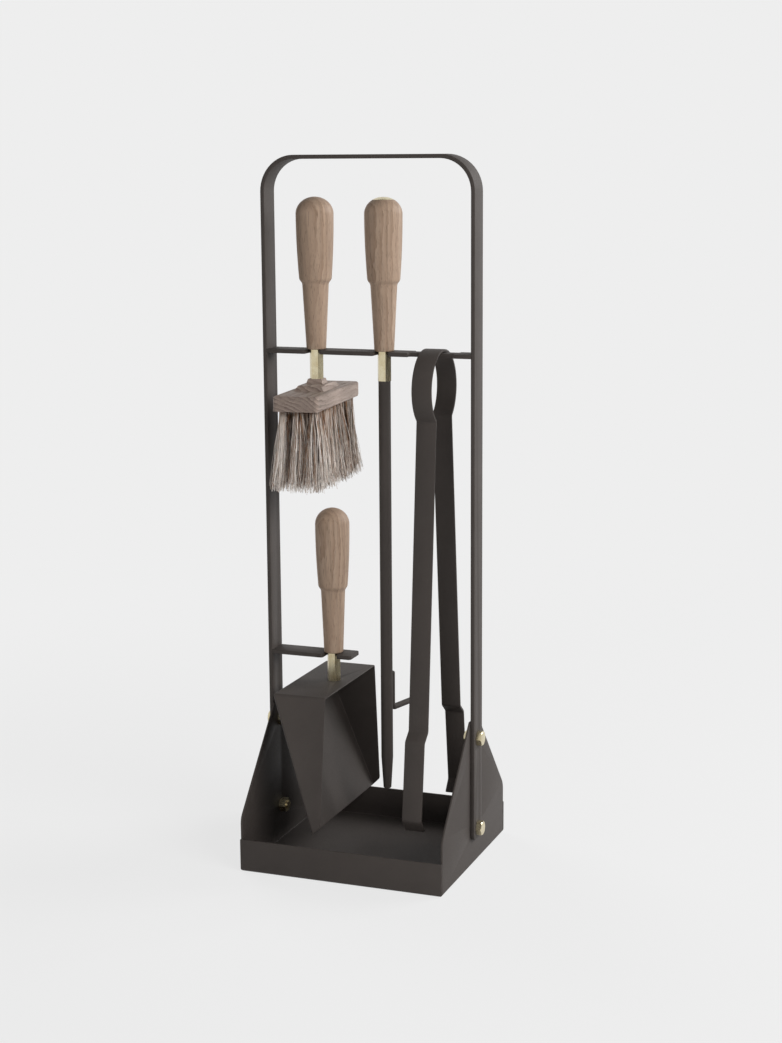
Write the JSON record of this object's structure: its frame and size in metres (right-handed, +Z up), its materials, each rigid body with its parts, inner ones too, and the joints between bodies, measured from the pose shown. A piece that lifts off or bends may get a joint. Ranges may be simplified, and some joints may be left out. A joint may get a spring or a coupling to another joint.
{
  "type": "fireplace tool set",
  "caption": "Fireplace tool set: folded steel tray with a flat-bar hoop frame, slotted rails holding a brush, a blow poker with hook and a shovel by turned wooden handles, and spring tongs.",
  "frame": {"origin": "centre of the tray's underside, on the floor", "axes": "+Z up to the top of the hoop, +X towards the tongs' side of the frame, -Y towards the front that is shown in the picture"},
  "size_m": [0.2306, 0.198, 0.7],
  "materials": {
    "dark_coat": "satin dark brown-black powder coat",
    "brass": "brushed",
    "handle_wood": "oiled walnut",
    "block_wood": "oiled walnut",
    "bristle": "matte natural fibre",
    "screw_steel": "dark plated"
  },
  "bodies": {
    "stand": {"base_tray": "dark_coat", "frame_hoop": "dark_coat", "tool_rail": "dark_coat", "shovel_rail": "dark_coat", "frame_bolts": "brass", "frame_nuts": "brass"},
    "brush": {"brush_handle": "handle_wood", "brush_neck": "brass", "brush_block": "block_wood", "brush_bristles": "bristle"},
    "poker": {"poker_handle": "handle_wood", "poker_mouthpiece": "brass", "poker_neck": "brass", "poker_tube": "dark_coat", "poker_hook": "dark_coat"},
    "shovel": {"shovel_handle": "handle_wood", "shovel_neck": "brass", "shovel_screw": "screw_steel", "shovel_pan": "dark_coat"},
    "tongs": {"tongs_bow": "dark_coat"},
    "tongs_front": {"tongs_front_leg": "dark_coat"},
    "tongs_rear": {"tongs_rear_leg": "dark_coat"}
  },
  "joints": [
    {"name": "brush_pull", "type": "slide", "parent": "stand", "child": "brush", "axis": [0, -1, 0], "range_m": [0, 0.12]},
    {"name": "poker_pull", "type": "slide", "parent": "stand", "child": "poker", "axis": [0, -1, 0], "range_m": [0, 0.12]},
    {"name": "shovel_pull", "type": "slide", "parent": "stand", "child": "shovel", "axis": [0, -1, 0], "range_m": [0, 0.16]},
    {"name": "tongs_lift", "type": "slide", "parent": "stand", "child": "tongs", "axis": [0, 0, 1], "range_m": [0, 0.17]},
    {"name": "tongs_front_squeeze", "type": "hinge", "parent": "tongs", "child": "tongs_front", "pos_m": [0.065, -0.02312, 0.44445], "axis": [1, 0, 0], "range_deg": [0, 8.4], "stiffness_Nm_per_rad": 0.6},
    {"name": "tongs_rear_squeeze", "type": "hinge", "parent": "tongs", "child": "tongs_rear", "pos_m": [0.065, 0.02312, 0.44445], "axis": [-1, 0, 0], "range_deg": [0, 8.4], "stiffness_Nm_per_rad": 0.6}
  ],
  "couplings": [
    {"joint": "tongs_rear_squeeze", "follows": "tongs_front_squeeze", "ratio": 1}
  ]
}
